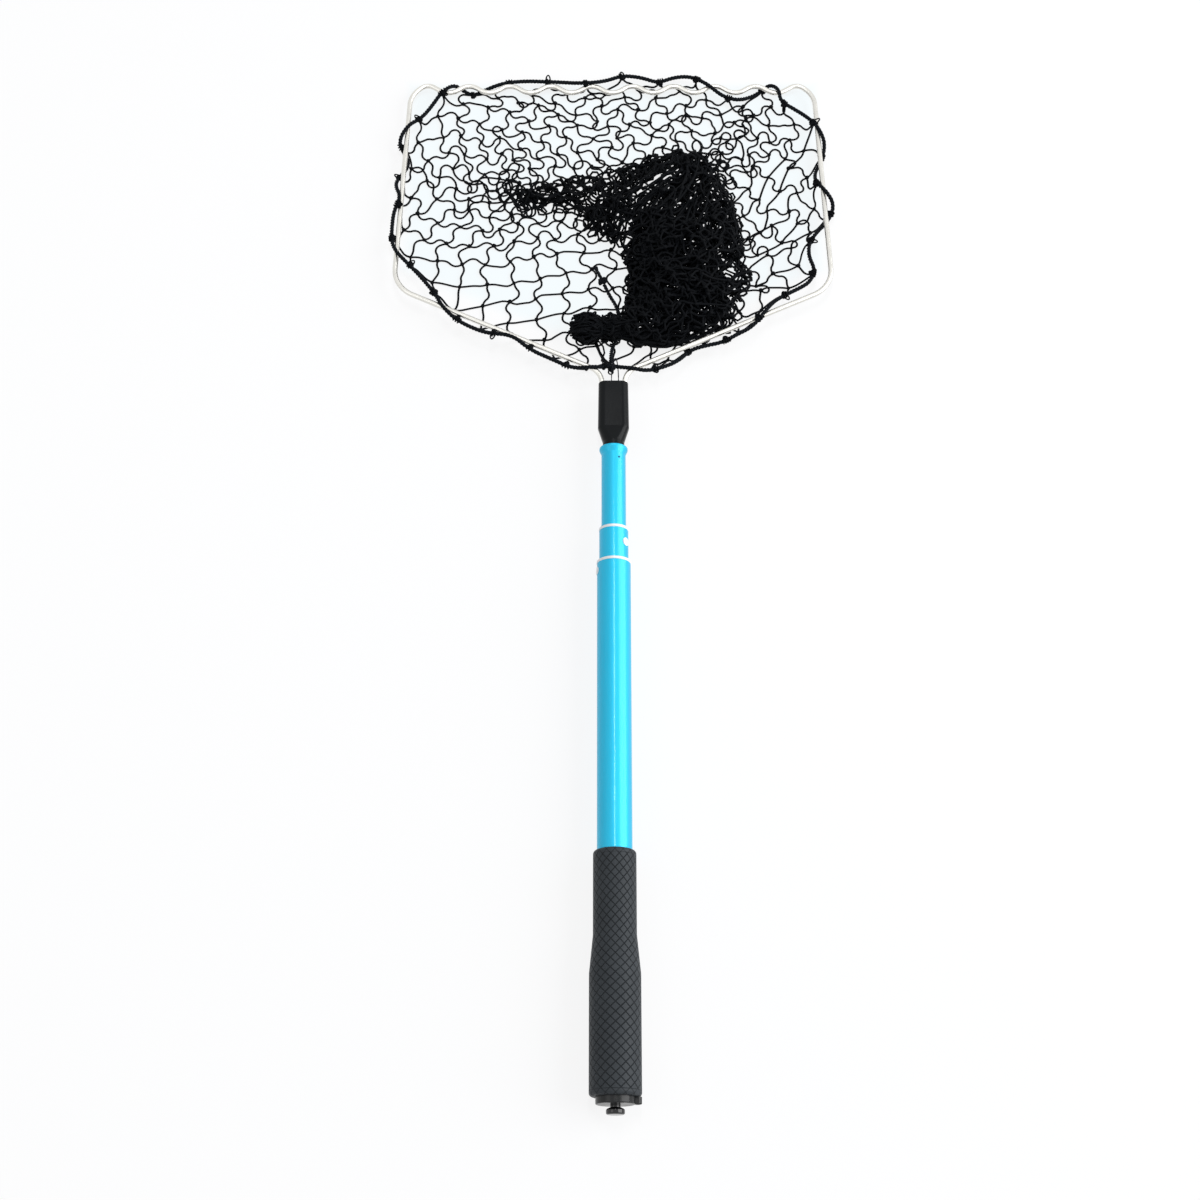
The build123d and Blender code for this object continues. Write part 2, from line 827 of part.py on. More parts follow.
tie_low_y = neck_top_y - tie_pocket_depth + 2
neck_tie_points = [
    (-2, tie_low_y, axis_z),
    (-1.5, neck_top_y + 4, axis_z + 0.5),
    (-1, throat_y - 4, throat_z + 5.5),
    (0.5, throat_y + 4, throat_z + 5.5),
    (2.5, throat_y + 7.5, throat_z),
    (3.5, throat_y + 4, throat_z - 5.5),
    (4, throat_y - 4, throat_z - 5.5),
    (4, neck_top_y + 4, axis_z - 0.5),
    (3.5, tie_low_y, axis_z),
]

with BuildPart() as neck_tie:
    tube_along(neck_tie_points, neck_tie_d, "neck_tie")

# ---------------------------------------------------------------- hand out the pieces

pieces = {
    "main_tube": main_tube,
    "main_bushing": main_bushing,
    "grip": grip,
    "end_cap": end_cap,
    "hang_knob": hang_knob,
    "middle_tube": middle_tube,
    "middle_bushing": middle_bushing,
    "middle_plug": middle_plug,
    "middle_stud": middle_stud,
    "middle_expander": middle_expander,
    "middle_cone": middle_cone,
    "middle_stop": middle_stop,
    "inner_tube": inner_tube,
    "inner_plug": inner_plug,
    "inner_stud": inner_stud,
    "inner_expander": inner_expander,
    "inner_cone": inner_cone,
    "inner_stop": inner_stop,
    "neck_socket": neck_socket,
    "neck_rivet": neck_rivet,
    "hoop_wire": hoop_wire,
    "border_rope": border_rope,
    "throat_knot": throat_knot,
    "neck_tie": neck_tie,
    "net_ties": net_ties,
    "net_spread": net_spread,
    "net_rim": net_rim,
    "net_heap": net_heap,
    "bag_end": bag_end,
    "bag_end_tie": bag_end_tie,
    "rope_tail": rope_tail,
    "tail_knot": tail_knot,
}
for name, piece in pieces.items():
    piece.part.label = name
    export_step(piece.part, f"parts/{name}.step")

main_travel = main_mouth_y - skirt_length - hub_top(middle_end_y) - lock_gap
middle_travel = middle_mouth_y - skirt_length - hub_top(inner_end_y) - lock_gap
print("extension of the middle tube", round(main_travel, 2), "of the inner tube", round(middle_travel, 2))
whole = Compound(children=[piece.part for piece in pieces.values()])
print("whole net", whole.bounding_box())
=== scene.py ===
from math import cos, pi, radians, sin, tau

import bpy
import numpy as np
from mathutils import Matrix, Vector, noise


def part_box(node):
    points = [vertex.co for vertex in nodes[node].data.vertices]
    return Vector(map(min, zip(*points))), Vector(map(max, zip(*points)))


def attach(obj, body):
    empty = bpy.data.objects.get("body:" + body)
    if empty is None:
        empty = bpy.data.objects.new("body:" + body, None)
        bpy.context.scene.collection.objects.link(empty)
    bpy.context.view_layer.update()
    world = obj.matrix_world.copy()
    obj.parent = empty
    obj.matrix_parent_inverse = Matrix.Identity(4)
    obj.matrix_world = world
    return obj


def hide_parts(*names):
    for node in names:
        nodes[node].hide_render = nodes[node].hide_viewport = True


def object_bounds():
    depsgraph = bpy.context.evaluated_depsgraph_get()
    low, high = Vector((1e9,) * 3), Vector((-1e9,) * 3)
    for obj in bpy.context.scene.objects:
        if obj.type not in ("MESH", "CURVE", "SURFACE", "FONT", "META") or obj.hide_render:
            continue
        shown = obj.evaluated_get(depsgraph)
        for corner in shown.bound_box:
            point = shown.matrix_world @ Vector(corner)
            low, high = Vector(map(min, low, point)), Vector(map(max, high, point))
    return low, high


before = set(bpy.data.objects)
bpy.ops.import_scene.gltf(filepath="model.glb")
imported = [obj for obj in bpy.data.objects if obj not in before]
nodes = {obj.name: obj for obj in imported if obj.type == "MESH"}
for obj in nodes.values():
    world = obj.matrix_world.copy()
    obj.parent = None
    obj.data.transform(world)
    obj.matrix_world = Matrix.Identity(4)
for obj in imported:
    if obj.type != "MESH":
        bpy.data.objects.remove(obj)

# %% [markdown]
# # A landing net on a telescopic pole
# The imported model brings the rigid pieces: the tubes, the grip, the neck and the hoop of wire. This
# lesson gives each of them its finish. Then it makes what a solid can't show: the twisted rope, the
# knotted netting, its crumpled depth and the gathered end of the bag.

cad_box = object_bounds()


def millimetres(points):
    """Places written in millimetres, as an array of metres."""
    return np.array(points, float) / 1000


low, high = cad_box
print("the whole net is", [round(1000 * (b - a)) for a, b in zip(low, high)], "mm")

# %% [markdown]
# ## The camera
# The net is seen from above and from the handle's side. A long lens keeps the pole nearly parallel, and
# only a moderate tilt lets the hoop look almost as wide and as deep as it is.

# %% Camera
tilt = radians(21.5)
eye_distance = 1.40125
look_at = Vector((-0.0103, -0.0533, 0.0179))
towards_eye = Vector((0, -sin(tilt), cos(tilt)))

camera = bpy.data.cameras.new("camera")
camera.lens = 57
camera.sensor_width = 36
camera.clip_start = 0.01
eye = bpy.data.objects.new("camera", camera)
eye.location = look_at + eye_distance * towards_eye
eye.rotation_euler = (tilt, 0, 0)
bpy.context.collection.objects.link(eye)
bpy.context.scene.camera = eye
print("camera at", [round(c, 3) for c in eye.location])

# %% [markdown]
# ## Finishes as expressions
# A material is a small program: each node takes numbers in and gives numbers out. Writing it as Python
# expressions keeps it readable. One class stands for a value in the program and adds a Math node for each
# sign, and one method makes every other node.

# %% Values and finishes
class Value:
    """An output of a node, on which arithmetic adds Math nodes."""

    def __init__(self, shading, socket):
        self.shading = shading
        self.socket = socket

    def maths(self, operation, *terms):
        return self.shading.node("Math", {"operation": operation}, dict(enumerate(terms)))

    def __add__(self, other):
        return self.maths("ADD", self, other)

    def __sub__(self, other):
        return self.maths("SUBTRACT", self, other)

    def __rsub__(self, other):
        return self.maths("SUBTRACT", other, self)

    def __mul__(self, other):
        return self.maths("MULTIPLY", self, other)

    __radd__ = __add__
    __rmul__ = __mul__

    def sine(self):
        return self.maths("SINE", self)

    def size(self):
        return self.maths("ABSOLUTE", self)

    def smallest(self, other):
        return self.maths("MINIMUM", self, other)

    def ramp(self, low, high, start=0.0, end=1.0):
        """This value, eased from start to end as it goes from low to high."""
        limits = {"Value": self, "From Min": low, "From Max": high, "To Min": start, "To Max": end}
        return self.shading.node("MapRange", {"interpolation_type": "SMOOTHSTEP"}, limits)


class Shading:
    """A tree of shader nodes, which are added one at a time."""

    def __init__(self, tree):
        self.tree = tree

    def node(self, kind, settings, inputs, output=0):
        """Add a node: its settings first, then the values or links of its sockets."""
        made = self.tree.nodes.new("ShaderNode" + kind)
        for setting, value in settings.items():
            setattr(made, setting, value)
        for socket, value in inputs.items():
            if isinstance(value, Value):
                self.tree.links.new(value.socket, made.inputs[socket])
            else:
                made.inputs[socket].default_value = value
        return Value(self, made.outputs[output])

    def ray(self, kind):
        """1 for a ray of this kind, and 0 for any other."""
        return self.node("LightPath", {}, {}, f"Is {kind} Ray")

    def link(self, value, socket):
        self.tree.links.new(value.socket, socket)


class Finish(Shading):
    """A Principled material."""

    def __init__(self, name, constants):
        self.material = bpy.data.materials.new(name)
        self.material.use_nodes = True
        super().__init__(self.material.node_tree)
        self.shader = self.tree.nodes["Principled BSDF"]
        for socket, value in constants.items():
            self.shader.inputs[socket].default_value = value

    def place(self, output="Object"):
        """Where a point of the surface is, as a vector and as its three values."""
        here = self.node("TexCoord", {}, {}, output)
        split = [self.node("SeparateXYZ", {}, {"Vector": here}, axis) for axis in range(3)]
        return here, split

    def grain(self, where, scale, detail=2.0, roughness=0.5):
        """Smooth noise from 0 to 1."""
        inputs = {"Vector": where, "Scale": scale, "Detail": detail, "Roughness": roughness}
        return self.node("TexNoise", {}, inputs)

    def tint(self, amount, dark, light):
        """A colour between two, by an amount."""
        return self.node("Mix", {"data_type": "RGBA"}, {0: amount, 6: (*dark, 1), 7: (*light, 1)}, 2)

    def feed(self, socket, value):
        """Give one of the shader's sockets a value that varies over the surface."""
        self.link(value, self.shader.inputs[socket])

    def emboss(self, height, distance, strength=1.0):
        """Turn a height from 0 to 1 into a bump of so many metres."""
        inputs = {"Height": height, "Distance": distance, "Strength": strength}
        self.feed("Normal", self.node("Bump", {}, inputs))

    def cover(self, *pieces):
        """Put this material on whole pieces."""
        for piece in pieces:
            piece.data.materials.clear()
            piece.data.materials.append(self.material)
        print(self.material.name, "on", ", ".join(piece.name for piece in pieces))


# %% [markdown]
# ## Light and floor
# A white studio: the camera sees a white world, and a large soft lamp stands above and to the right. The
# floor is white too, and mixes its own shading with plain white, which leaves only a soft shadow.

# %% World
world_light = 0.4
world = bpy.data.worlds.new("studio")
world.use_nodes = True
bpy.context.scene.world = world
sky = Shading(world.node_tree)
seen = (sky.ray("Camera") + sky.ray("Glossy") + sky.ray("Transmission")).smallest(1.0)
background = sky.tree.nodes["Background"]
background.inputs["Color"].default_value = (1, 1, 1, 1)
sky.link(seen * (1 - world_light) + world_light, background.inputs["Strength"])
bpy.context.scene.view_settings.view_transform = "Standard"
print("a white world that gives", world_light, "of its light to dull surfaces")


# %% Lamps
def soft_lamp(name, place, size, power, length=None):
    """A square lamp, or a longer one, that faces the middle of the floor."""
    light = bpy.data.lights.new(name, "AREA")
    light.size = size
    if length:
        light.shape = "RECTANGLE"
        light.size_y = length
    light.energy = power
    lamp = bpy.data.objects.new(name, light)
    lamp.location = place
    lamp.rotation_euler = (Vector((0, 0, 0)) - Vector(place)).to_track_quat("-Z", "Y").to_euler()
    bpy.context.collection.objects.link(lamp)
    print(name, "gives", power, "W")
    return lamp


soft_lamp("key_lamp", (3.5, 0.2, 2.1), 3.8, 175)
soft_lamp("fill_lamp", (-1.5, -0.3, 1.7), 1.0, 3)
strip = soft_lamp("top_strip", (0.03, 0.45, 1.9), 0.14, 8, length=0.8)
strip.rotation_euler = (0, 0, 0)

# %% Floor
glow_share = 0.84
hoop_half_width, hoop_front = 0.172, 0.42
rear_start, rear_slope, rear_cosine = 0.156, 0.467, 0.906

bpy.ops.object.select_all(action="DESELECT")
bpy.ops.mesh.primitive_plane_add(size=8, location=(0, 0, 0))
floor = bpy.context.object
floor.name = "floor"

paper = Finish("floor_paper", {"Roughness": 0.9, "Specular IOR Level": 0.0})
paper.cover(floor)
where, (across, along, _) = paper.place()
white_paper = paper.tint(paper.grain(where, 30, 3), (0.93, 0.945, 0.985), (0.95, 0.96, 0.99))
# Painted shade of the netting: the paper is painted bluer inside the hoop, by how deep a place is behind
# its sides, its front and its slanted rear
side_depth = hoop_half_width - across.size()
front_depth = hoop_front - along
rear_depth = (along - rear_start - rear_slope * across.size()) * rear_cosine
net_shade_inside_hoop = side_depth.smallest(front_depth).smallest(rear_depth).ramp(-0.004, 0.012)
painted_net_shade = {0: net_shade_inside_hoop, 6: white_paper, 7: (0.5, 0.86, 1.0, 1)}
paper.feed("Base Color", paper.node("Mix", {"data_type": "RGBA"}, painted_net_shade, 2))
glow = paper.node("Emission", {}, {"Color": (1, 1, 1, 1), "Strength": 1.0})
shaded = Value(paper, paper.shader.outputs[0])
plain = (paper.ray("Camera") * glow_share + paper.ray("Glossy") + paper.ray("Transmission")).smallest(1.0)
blended = paper.node("MixShader", {}, {0: plain, 1: shaded, 2: glow})
paper.link(blended, paper.tree.nodes["Material Output"].inputs["Surface"])

# %% [markdown]
# ## Smooth lines for rope and twine
# A rope has no corners. Its line is a NURBS spline: the points of its route pull the line towards them, and
# it never kinks. Everything that is wound, laid or tied along a cord then follows the points that Blender
# gives for that line.

# %% Lines and strands
strand_share = 0.222
steps_in_a_turn = 12


def add_line(curve, points, smooth):
    """One more line of a curve: through its points, or only pulled towards them when it's smooth."""
    line = curve.splines.new("NURBS" if smooth else "POLY")
    line.points.add(len(points) - 1)
    line.points.foreach_set("co", np.column_stack([points, np.ones(len(points))]).ravel())
    if smooth:
        line.order_u = 3
        line.use_endpoint_u = True


def smooth_line(name, points):
    """The points that Blender gives for one smooth line with these control points."""
    curve = bpy.data.curves.new(name, "CURVE")
    curve.dimensions = "3D"
    curve.resolution_u = 12
    add_line(curve, points, smooth=True)
    route = bpy.data.objects.new(name, curve)
    mesh = bpy.data.meshes.new_from_object(route)
    places = np.array([vertex.co for vertex in mesh.vertices])
    bpy.data.meshes.remove(mesh)
    bpy.data.objects.remove(route)
    return places


def lengths_along(points):
    """How far along the line each of its points is."""
    return np.concatenate([[0], np.cumsum(np.linalg.norm(np.diff(points, axis=0), axis=1))])


def shares_along(points):
    """How far along the line each of its points is, from 0 to 1."""
    along = lengths_along(points)
    return along / along[-1]


def spaced(points, gap):
    """The same line with its points an even distance apart."""
    along = lengths_along(points)
    even = np.linspace(0, along[-1], max(3, round(along[-1] / gap) + 1))
    return np.column_stack([np.interp(even, along, points[:, axis]) for axis in range(3)])


def unit(vectors):
    """The same directions with a length of 1, or of 0 where there is none."""
    return vectors / np.maximum(np.linalg.norm(vectors, axis=1, keepdims=True), 1e-9)


def directions(points):
    """The line's direction at each of its points, and two directions across it."""
    ahead = unit(np.gradient(points, axis=0))
    side = unit(np.cross(ahead, (0, 0, 1)))
    return ahead, side, np.cross(side, ahead)


def wound(points, radius, pitch, start=0.0):
    """A helix round a line."""
    ahead, side, up = directions(points)
    turn = (start + tau * lengths_along(points) / pitch)[:, None]
    return points + radius * (np.cos(turn) * side + np.sin(turn) * up)


def thread(name, lines, thickness, sides=1, smooth=False, resolution=2):
    """A mesh of round threads, one along each line of points."""
    curve = bpy.data.curves.new(name, "CURVE")
    curve.dimensions = "3D"
    curve.bevel_depth = thickness / 2
    curve.bevel_resolution = sides
    curve.resolution_u = resolution
    curve.use_fill_caps = True
    for points in lines:
        add_line(curve, points, smooth)
    piece = bpy.data.objects.new(name, curve)
    bpy.context.collection.objects.link(piece)
    bpy.ops.object.select_all(action="DESELECT")
    piece.select_set(True)
    bpy.context.view_layer.objects.active = piece
    bpy.ops.object.convert(target="MESH")
    piece = bpy.context.object
    bpy.ops.object.shade_smooth()
    print(name, len(lines), "threads,", len(piece.data.polygons), "faces")
    return piece


def resting(points, radius):
    """The same points, none of them so low that a thread of that radius would sink into the ground."""
    return np.column_stack([points[:, :2], np.maximum(points[:, 2], radius)])


def laid_rope(points, thickness, pitch):
    """The lines of a rope's three strands, twisted round its own line, and a strand's thickness."""
    strand_r = thickness * strand_share
    line = spaced(points, pitch / steps_in_a_turn)
    strands = [wound(line, thickness / 2 - strand_r, pitch, tau * turn / 3) for turn in range(3)]
    return [resting(strand, strand_r) for strand in strands], 2 * strand_r


# %% [markdown]
# ## The rope
# A twisted rope of three strands is laced over and under the wire all round the hoop. Both ends meet in a
# knot at the neck, and one of them is left long. Both routes repeat the model's own, in millimetres.

# %% Routes
neck_top_y = 0.1259
axis_z = 0.0179
rope_d = 0.003
rope_pitch, knot_pitch = 0.0078, 0.008
lace_lift = 0.0049
leg_bend_y = neck_top_y + 0.0104
front_y = neck_top_y + 0.2816
front_z = lace_lift + rope_d / 2 + 0.0001


def hoop_z(y):
    """Height of the hoop's wire, which comes down from the neck to the ground."""
    fall = (axis_z - front_z) / (front_y - leg_bend_y)
    return axis_z - np.maximum(0, y - leg_bend_y) * fall


# Each point is so far across and along, and it passes over the wire at 1 and under it at -1
rope_route = [
    (-6, 141, 0), (-16, 138.6, 1), (-31, 138.5, 0.3), (-48, 148, 0), (-65, 156.5, 0),
    (-79, 167.5, 1), (-98, 170.5, 0.2), (-113, 177.5, 0), (-125, 184.5, 0.3), (-135, 194.5, 1),
    (-140, 206, 0.3), (-150, 220.5, 0), (-162, 234, 0.3), (-173, 244.5, 1), (-177.2, 257, 0.2),
    (-177.4, 271, 0), (-176.5, 285, 0.2), (-171, 297, 1), (-176, 309, 0.2), (-175.5, 318, -0.4),
    (-170.5, 327, -1), (-166.5, 335.5, -0.9), (-170, 344, -1), (-175.8, 353.5, 0.2), (-168.5, 367.5, 1),
    (-158, 377, 0.3), (-150.5, 389, 0), (-140.5, 403, 1), (-131.5, 412.5, 0.1), (-124, 409.5, -1),
    (-116, 404.5, -1), (-107.5, 410, -1), (-91, 414.8, -0.1), (-73, 416.3, 0), (-58, 415.4, 0.1),
    (-45, 415.2, 0), (-30, 413, 0.3), (-16, 411, 1), (-4, 415.8, 0.3), (8, 422.1, 0),
    (24, 420.2, 0), (38, 414.6, -0.1), (51, 420.2, 0), (65, 420.5, 0.2), (78.5, 410, 1),
    (91, 400, 0.2), (104, 397.5, -0.3), (116, 403.5, -1), (124.5, 409.5, -1), (131, 413.5, -0.2),
    (138, 404.5, 1), (139, 394.5, 0.3), (149, 388.5, 0), (160.5, 378, 0.4), (169, 365.5, 1),
    (174.8, 352, 0), (170.5, 337, -1), (164.5, 325, -0.5), (164.5, 313, 0.3), (171, 304, 1),
    (177.8, 295, 0.2), (177.4, 286, -0.4), (171.5, 277, -1), (163.5, 267, -0.4), (156.5, 255, 0),
    (156, 242, 0), (160.5, 230.5, 0), (156, 218.5, 0), (145, 211.5, 0), (132.5, 205, 0),
    (124.5, 197.5, 0.4), (118.5, 188, 1), (109, 176.5, 0.3), (97, 170.5, 0), (85, 163, 0),
    (73, 162.5, -0.8), (61, 159.5, -1), (50, 146.5, -0.2), (38, 140.5, 0), (26, 136.5, 0.3),
    (14, 137.5, 1), (2, 141, 0),
]
across, along, lift = np.array(rope_route, float).T
rope_points = np.column_stack([across / 1000, along / 1000, hoop_z(along / 1000) + lift * lace_lift])
rope_line = smooth_line("border_rope_route", rope_points)
print("border rope", round(1000 * lengths_along(rope_line)[-1]), "mm")

tail_route = millimetres([
    (-2, 145.5, 17.7), (-2, 154, 15.5), (0, 164, 9), (3, 176, 3.2),
    (5, 190, 3.2), (3, 203, 3.2), (-3, 213, 3.2), (-7, 222, 4.8),
])
tail_line = smooth_line("rope_tail_route", tail_route)
print("loose end", round(1000 * lengths_along(tail_line)[-1]), "mm")

# %% Rope pieces
visible_d = 1.15 * rope_d
strands, strand_d = laid_rope(rope_line, visible_d, rope_pitch)
rope = thread("laced_rope", strands, strand_d)
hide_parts("border_rope")
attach(rope, "head")

strands, strand_d = laid_rope(tail_line, 1.05 * rope_d, rope_pitch)
tail = thread("loose_rope_end", strands, strand_d)
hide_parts("rope_tail")

# %% Rope knots
def overhand(centre, size, facing):
    """The line of an overhand knot pulled tight, so many metres across."""
    turn = np.linspace(0, tau, 49)
    flat = np.column_stack([
        np.sin(turn) + 2 * np.sin(2 * turn), np.cos(turn) - 2 * np.cos(2 * turn), -1.5 * np.sin(3 * turn)
    ])
    turned = Vector(facing).to_track_quat("Z", "Y").to_matrix().transposed()
    return np.array(centre) + flat * size / 6 @ np.array(turned)


throat_middle = np.array([-0.002, neck_top_y + 0.0151, axis_z - 0.0002])
strands, strand_d = laid_rope(overhand(throat_middle, 0.0068, (0.3, 0.5, 1)), rope_d, knot_pitch)
throat = thread("throat_lump", strands, strand_d)
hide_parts("throat_knot")

tail_way = np.array([-0.406, 0.914, 0])
tail_middle = tail_line[-1] + 0.0036 * tail_way
strands, strand_d = laid_rope(overhand(tail_middle, 0.006, (-0.3, 0.7, 0.6)), rope_d, knot_pitch)
# The rope goes on past its knot for a short stub, and each yarn of the stub ends loose
stub, _ = laid_rope(tail_middle + np.linspace(0, 0.0095, 12)[:, None] * tail_way, rope_d, 0.0105)
frayed = [
    tail_middle + np.outer([0.009, 0.0115, 0.0135], tail_way)
    + np.outer([0.3, 1, 1.6], (0.0008 * cos(turn), 0.0004 * cos(turn), 0.0008 * sin(turn)))
    for turn in np.arange(0, tau, 0.9)
]
stopper = thread("stopper_knot", strands + stub + frayed, strand_d)
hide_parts("tail_knot")

for piece in (tail, throat, stopper):
    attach(piece, "head")

# %% Thin cord into the neck
neck_cord_line = smooth_line("neck_tie_route", millimetres([
    (-2, 116.4, 17.9), (-1.5, 129.9, 18.4), (-1, 137, 23.2), (0.5, 145, 23.2), (2.5, 148.5, 17.7),
    (3.5, 145, 12.2), (4, 137, 12.2), (4, 129.9, 17.4), (3.5, 116.4, 17.9),
]))
yarn_r = 0.00026
yarns = [wound(neck_cord_line, yarn_r, 10 * yarn_r, pi * number) for number in (0, 1)]
neck_cord = thread("neck_cord", yarns, 2 * yarn_r)
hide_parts("neck_tie")
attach(neck_cord, "head")
print("neck cord", round(1000 * lengths_along(neck_cord_line)[-1]), "mm")

# %% [markdown]
# ## The netting
# A net bag is a grid of knots joined by short bars of twine. Each row of knots is half a mesh off the row
# above. Here every bar is a chain of five links of fixed length, so a slack bar has to curl, as stiff twine
# does. The knots are laid out roughly: from the rope to the edge of the heap, then along the heap to the
# bag's end. A hundred and forty rounds of pulling each link to its length, and of letting the twine
# down to the ground, give the real shape.

# %% Knots and bars
columns = 34
rows = 40
bar = 0.0225
links = 5
link = bar / links
twine_r = 0.00095
chance = np.random.default_rng(11)

row, column = np.meshgrid(np.arange(rows + 1), np.arange(columns), indexing="ij")
knot = row * columns + column
share = ((column + 0.5 * (row % 2)) / columns) % 1


def column_below(level, side):
    """For each knot of a row, the column of the knot below it to the left (0) or to the right (1)."""
    return (np.arange(columns) + side - (level % 2 == 0)) % columns


# All the bars that go down to the left come first, and then those that go down to the right
tops = np.tile(knot[:rows].ravel(), 2)
bottoms = np.concatenate([knot[r + 1][column_below(r, side)] for side in (0, 1) for r in range(rows)])
bars = len(tops)
inner = knot.size + np.arange(bars * (links - 1)).reshape(bars, links - 1)
beads = np.column_stack([tops, inner, bottoms])
print(knot.size, "knots and", bars, "bars:", round(bars * bar, 1), "m of twine in the net")

# %% Where the bag lies
# How far round the rope, the edge of the heap there, and how far each half row reaches
guides = np.array([
    (0.00, 12, 180, 12), (0.03, 14, 212, 13), (0.07, 2, 252, 14), (0.12, -34, 286, 14.5),
    (0.17, -62, 299, 14), (0.21, -72, 303, 13), (0.27, -78, 306, 12.5), (0.32, -74, 311, 12.5),
    (0.37, -56, 315, 12), (0.42, -36, 318, 10.5), (0.48, -6, 326, 9.5), (0.55, 45, 345, 9),
    (0.60, 76, 342, 9.5), (0.65, 88, 328, 11), (0.70, 91, 308, 12), (0.75, 102, 275, 12),
    (0.79, 108, 250, 12), (0.83, 107, 225, 12), (0.87, 103, 203, 12), (0.91, 90, 186, 12),
    (0.95, 50, 166, 11), (1.00, 12, 180, 12),
])
# The heap from its thin tail to the bag's end: the inner foot, outer foot and height of each cross-section
sections = np.array([
    (-80, 302, -80, 309, 4), (-60, 299, -58, 313, 8), (-38, 291, -33, 317, 12),
    (-20, 277, -4, 323, 18), (-5, 262, 34, 341, 25), (6, 250, 74, 346, 30), (14, 241, 91, 317, 32),
    (16, 233, 103, 277, 33), (16, 225, 109, 240, 33), (15, 216, 104, 204, 32), (13, 206, 92, 183, 30),
    (11, 197, 60, 163, 27), (8, 190, 27, 158, 23), (2, 188, 6, 164, 19), (-3, 188, -3, 168, 16),
])
across_foot = sections[:, 2:4] - sections[:, :2]
section_middle = (sections[:, :2] + sections[:, 2:4]) / 2
section_width = np.linalg.norm(across_foot, axis=1)
section_height = sections[:, 4]
section_at = shares_along(section_middle)
rope_at = shares_along(rope_line)
print("a heap of", len(sections), "sections, and", len(guides), "guides round the rope")


def on_section(at, values):
    """A measure of the heap's sections, in metres, at a place from 0 to 1 along it."""
    return np.interp(at, section_at, values) / 1000


def on_floor(at, values):
    """The same for a place or a distance that has two measures, across and along."""
    return np.column_stack([on_section(at, values[:, kind]) for kind in (0, 1)])


def on_rope(at):
    """A point of the rope's line at a place from 0 to 1 round it."""
    return np.column_stack([np.interp(at, rope_at, rope_line[:, axis]) for axis in range(3)])


# %% First layout of the knots
round_rope = share.ravel()
edge_x, edge_y, reach = [np.interp(round_rope, guides[:, 0], guides[:, kind]) / 1000 for kind in (1, 2, 3)]
edge = np.column_stack([edge_x, edge_y])
start = on_rope(round_rope)
open_length = np.linalg.norm(edge - start[:, :2], axis=1)
open_rows = np.clip(open_length / reach, 1, 14)
level = row.ravel()
share_out = np.clip(level / open_rows, 0, 1)[:, None]

samples = np.linspace(0, 1, 201)
middle_line = on_floor(samples, section_middle)
nearest = samples[np.argmin(np.linalg.norm(edge[:, None] - middle_line[None], axis=2), axis=1)]
entry = np.minimum(nearest, 0.45 + 0.1 * np.sin(7 * tau * round_rope))
inside = np.clip((level - open_rows) / (rows - open_rows), 0, 1)
at = entry + (1 - entry) * inside


def even_out(values, among):
    """Each value's rank among some of them, from 0 to 1."""
    return np.searchsorted(np.sort(values[among]), values) / among.sum()


def waves(count, around, down):
    """A smooth random field over the net that closes on itself round the rope."""
    field = np.zeros(knot.shape)
    for _ in range(count):
        turns = chance.integers(-around, around + 1), chance.uniform(-down, down)
        field += np.sin(tau * (turns[0] * share + turns[1] * row / rows + chance.random()))
    return field.ravel()


# Each section of the heap takes as many knots as it has room for
end_room = 0.003 * (samples > 0.88)
section_room = on_section(samples, section_width) * np.sqrt(on_section(samples, section_height))
room = np.cumsum(section_room + end_room)
even = np.interp(even_out(at, inside > 0), room / room[-1], samples)
at = at + 0.9 * (even - at) * np.clip(5 * inside, 0, 1)

# Neighbours along the heap stand evenly from one side of it to the other, and wander as smoothly as they can
widest = 0.95
knots_in_group = 60
wander = waves(9, 3, 3)
rise = even_out(waves(12, 9, 7), inside > 0)
in_line = np.argsort(at + 2 * (inside <= 0))[: (inside > 0).sum()]
for some in np.array_split(in_line, len(in_line) // knots_in_group):
    wander[some[np.argsort(wander[some])]] = np.linspace(-widest, widest, len(some))
wander = np.clip(wander, -widest, widest)
foot = on_floor(at, section_middle)
reach_out = on_floor(at, across_foot / 2)
edge_foot = on_floor(entry, section_middle)
edge_out = on_floor(entry, across_foot / 2)
lean = np.clip(((edge - edge_foot) * edge_out).sum(1) / (edge_out**2).sum(1), -1, 1)
spread = lean * np.clip(1 - 5 * inside, 0, 1) + wander * np.minimum(1, 5 * inside)
spread = np.clip(spread, -widest, widest)
in_heap = foot + reach_out * spread[:, None]
blend = np.clip(6 * inside, 0, 1)[:, None]
flat = start[:, :2] + (edge - start[:, :2]) * share_out
home = np.zeros((knot.size, 3))
home[:, :2] = flat * (1 - blend) + in_heap * blend
heap_top = on_section(at, section_height) * np.sqrt(1 - spread**2)
home[:, 2] = twine_r + blend[:, 0] * heap_top * np.sqrt(rise)
print("the heap holds", int((inside > 0).sum()), "of the knots")

# %% First layout of the bars
places = np.zeros((knot.size + inner.size, 3))
places[: knot.size] = home
pinned = np.zeros(len(places), bool)
